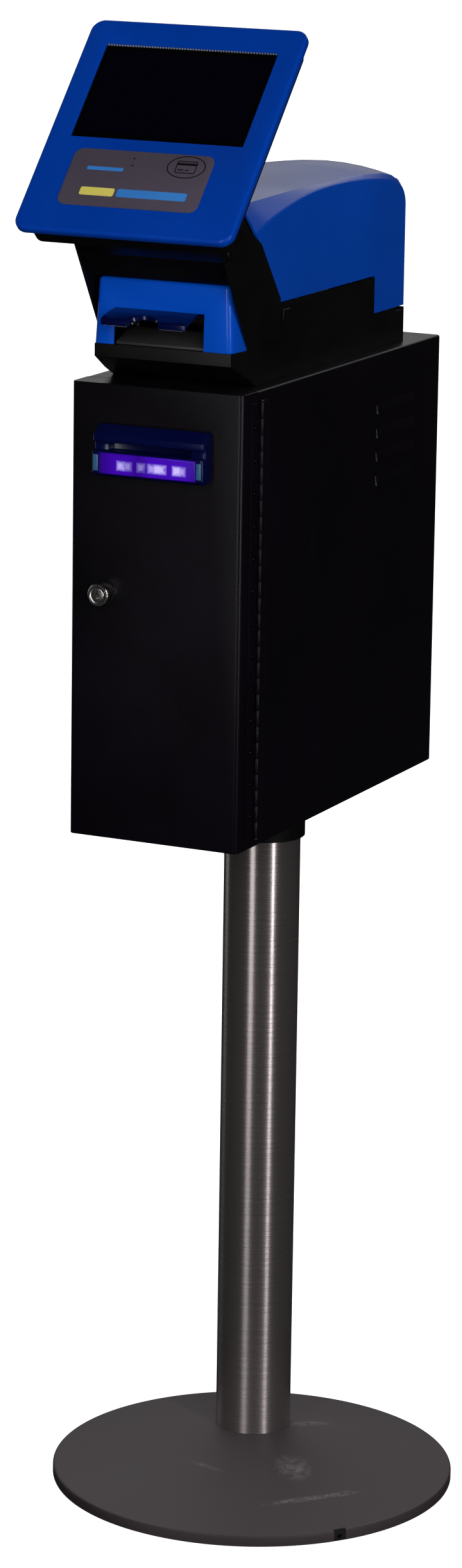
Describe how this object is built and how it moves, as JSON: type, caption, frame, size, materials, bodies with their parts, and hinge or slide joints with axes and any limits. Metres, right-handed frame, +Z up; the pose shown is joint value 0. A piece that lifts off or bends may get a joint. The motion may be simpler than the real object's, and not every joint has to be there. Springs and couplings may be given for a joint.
{
  "type": "ticket vending machine",
  "caption": "Pole-mounted ticket vending terminal: round base, steel pole, lockable cabinet with lit banknote slot, ticket printer head with lifting cover and tilting touch display.",
  "frame": {"origin": "on the pole axis at the floor, in the underside of the base pad", "axes": "+Z up the pole, +X to the right seen from the front, front of the cabinet towards -Y"},
  "size_m": [0.3999, 0.5381, 1.4482],
  "materials": {
    "base_coat": "satin powder coat",
    "brushed_steel": "brushed",
    "black_coat": "satin powder coat",
    "black_plastic": "fine texture",
    "blue_plastic": "semi-gloss",
    "smoke_blue": "translucent",
    "violet_lens": "lit lens",
    "screen_glass": "glossy",
    "plate_gray": "satin",
    "chrome": "polished",
    "zinc": "zinc plated",
    "rubber": "matte",
    "white_nylon": "moulded",
    "paper": "matte",
    "circuit_board": "solder mask",
    "aluminium": "extruded",
    "brass": "cut",
    "dark_gray_plastic": "moulded"
  },
  "bodies": {
    "stand": {"base_plate": "base_coat", "base_pad": "rubber", "cable_grommet": "rubber", "base_screws": "zinc", "pole_plug": "zinc", "pole_tube": "brushed_steel", "pole_cap": "white_nylon"},
    "cabinet": {"swivel_collar": "black_coat", "collar_bolts": "zinc", "collar_set_screws": "zinc", "cabinet_shell": "black_coat", "cabinet_hinge_leaf": "black_coat", "hinge_pin": "zinc", "equipment_bracket": "zinc", "bill_validator": "black_plastic", "cash_box": "dark_gray_plastic", "power_supply": "aluminium", "controller_board": "circuit_board", "head_base": "black_plastic", "neck_housing": "black_plastic", "neck_screws": "zinc", "mouth_bezel": "blue_plastic", "visor": "smoke_blue", "ticket_tray": "dark_gray_plastic", "printer_chassis": "zinc", "print_head": "aluminium", "cutter": "brushed_steel", "feed_motor": "black_coat", "roll_bracket": "dark_gray_plastic", "roll_spindle": "dark_gray_plastic", "paper_web": "paper", "cover_hinge_pin": "zinc", "tilt_pin": "black_coat"},
    "door": {"door": "black_coat", "door_hinge_leaf": "black_coat", "hinge_screws": "zinc", "lock_body": "chrome", "bill_bezel": "smoke_blue", "bezel_lens": "violet_lens", "led_board": "circuit_board"},
    "lock": {"lock_plug": "chrome", "lock_cam": "zinc"},
    "handle": {"cash_box_handle": "zinc"},
    "display": {"display_bracket": "black_coat", "display_back": "black_plastic", "display_frame": "blue_plastic", "touch_glass": "screen_glass", "lcd_panel": "black_plastic", "label_plate": "plate_gray", "reader_board": "circuit_board"},
    "cover": {"rear_cover": "blue_plastic"},
    "button_right": {"release_button_right": "dark_gray_plastic"},
    "button_left": {"release_button_left": "dark_gray_plastic"},
    "roll": {"paper_roll": "paper"},
    "platen": {"platen_gear": "white_nylon", "platen_shaft": "zinc", "platen_roller": "rubber"},
    "idler": {"idler_gear": "white_nylon"},
    "pinion": {"motor_pinion": "brass"}
  },
  "joints": [
    {"name": "cabinet_swivel", "type": "hinge", "parent": "stand", "child": "cabinet", "pos_m": [0, 0, 0.66], "axis": [0, 0, 1], "range_deg": [-170, 170]},
    {"name": "door_hinge", "type": "hinge", "parent": "cabinet", "child": "door", "pos_m": [0.092, -0.211, 0.9], "axis": [0, 0, 1], "range_deg": [0, 110]},
    {"name": "lock_turn", "type": "hinge", "parent": "door", "child": "lock", "pos_m": [-0.053, -0.24, 0.9177], "axis": [0, 1, 0], "range_deg": [0, 90]},
    {"name": "handle_fold", "type": "hinge", "parent": "cabinet", "child": "handle", "pos_m": [0, -0.203, 0.9843], "axis": [-1, 0, 0], "range_deg": [0, 90]},
    {"name": "display_tilt", "type": "hinge", "parent": "cabinet", "child": "display", "pos_m": [0, -0.256, 1.25], "axis": [1, 0, 0], "range_deg": [-10, 20]},
    {"name": "cover_lift", "type": "hinge", "parent": "cabinet", "child": "cover", "pos_m": [0, 0.142, 1.16], "axis": [-1, 0, 0], "range_deg": [0, 60]},
    {"name": "release_right", "type": "slide", "parent": "cabinet", "child": "button_right", "axis": [-1, 0, 0], "range_m": [0, 0.002], "stiffness_N_per_m": 400, "springref_m": -0.002},
    {"name": "release_left", "type": "slide", "parent": "cabinet", "child": "button_left", "axis": [1, 0, 0], "range_m": [0, 0.002], "stiffness_N_per_m": 400, "springref_m": -0.002},
    {"name": "platen_spin", "type": "hinge", "parent": "cabinet", "child": "platen", "pos_m": [0, -0.185, 1.178], "axis": [1, 0, 0], "continuous": true},
    {"name": "idler_spin", "type": "hinge", "parent": "cabinet", "child": "idler", "pos_m": [0, -0.1659, 1.1589], "axis": [1, 0, 0], "continuous": true},
    {"name": "pinion_spin", "type": "hinge", "parent": "cabinet", "child": "pinion", "pos_m": [0, -0.14617, 1.15172], "axis": [1, 0, 0], "continuous": true},
    {"name": "roll_spin", "type": "hinge", "parent": "cabinet", "child": "roll", "pos_m": [0, 0.06, 1.206], "axis": [1, 0, 0], "continuous": true}
  ],
  "couplings": [
    {"joint": "idler_spin", "follows": "platen_spin", "ratio": -0.8},
    {"joint": "pinion_spin", "follows": "platen_spin", "ratio": 2},
    {"joint": "roll_spin", "follows": "platen_spin", "ratio": -0.16}
  ]
}
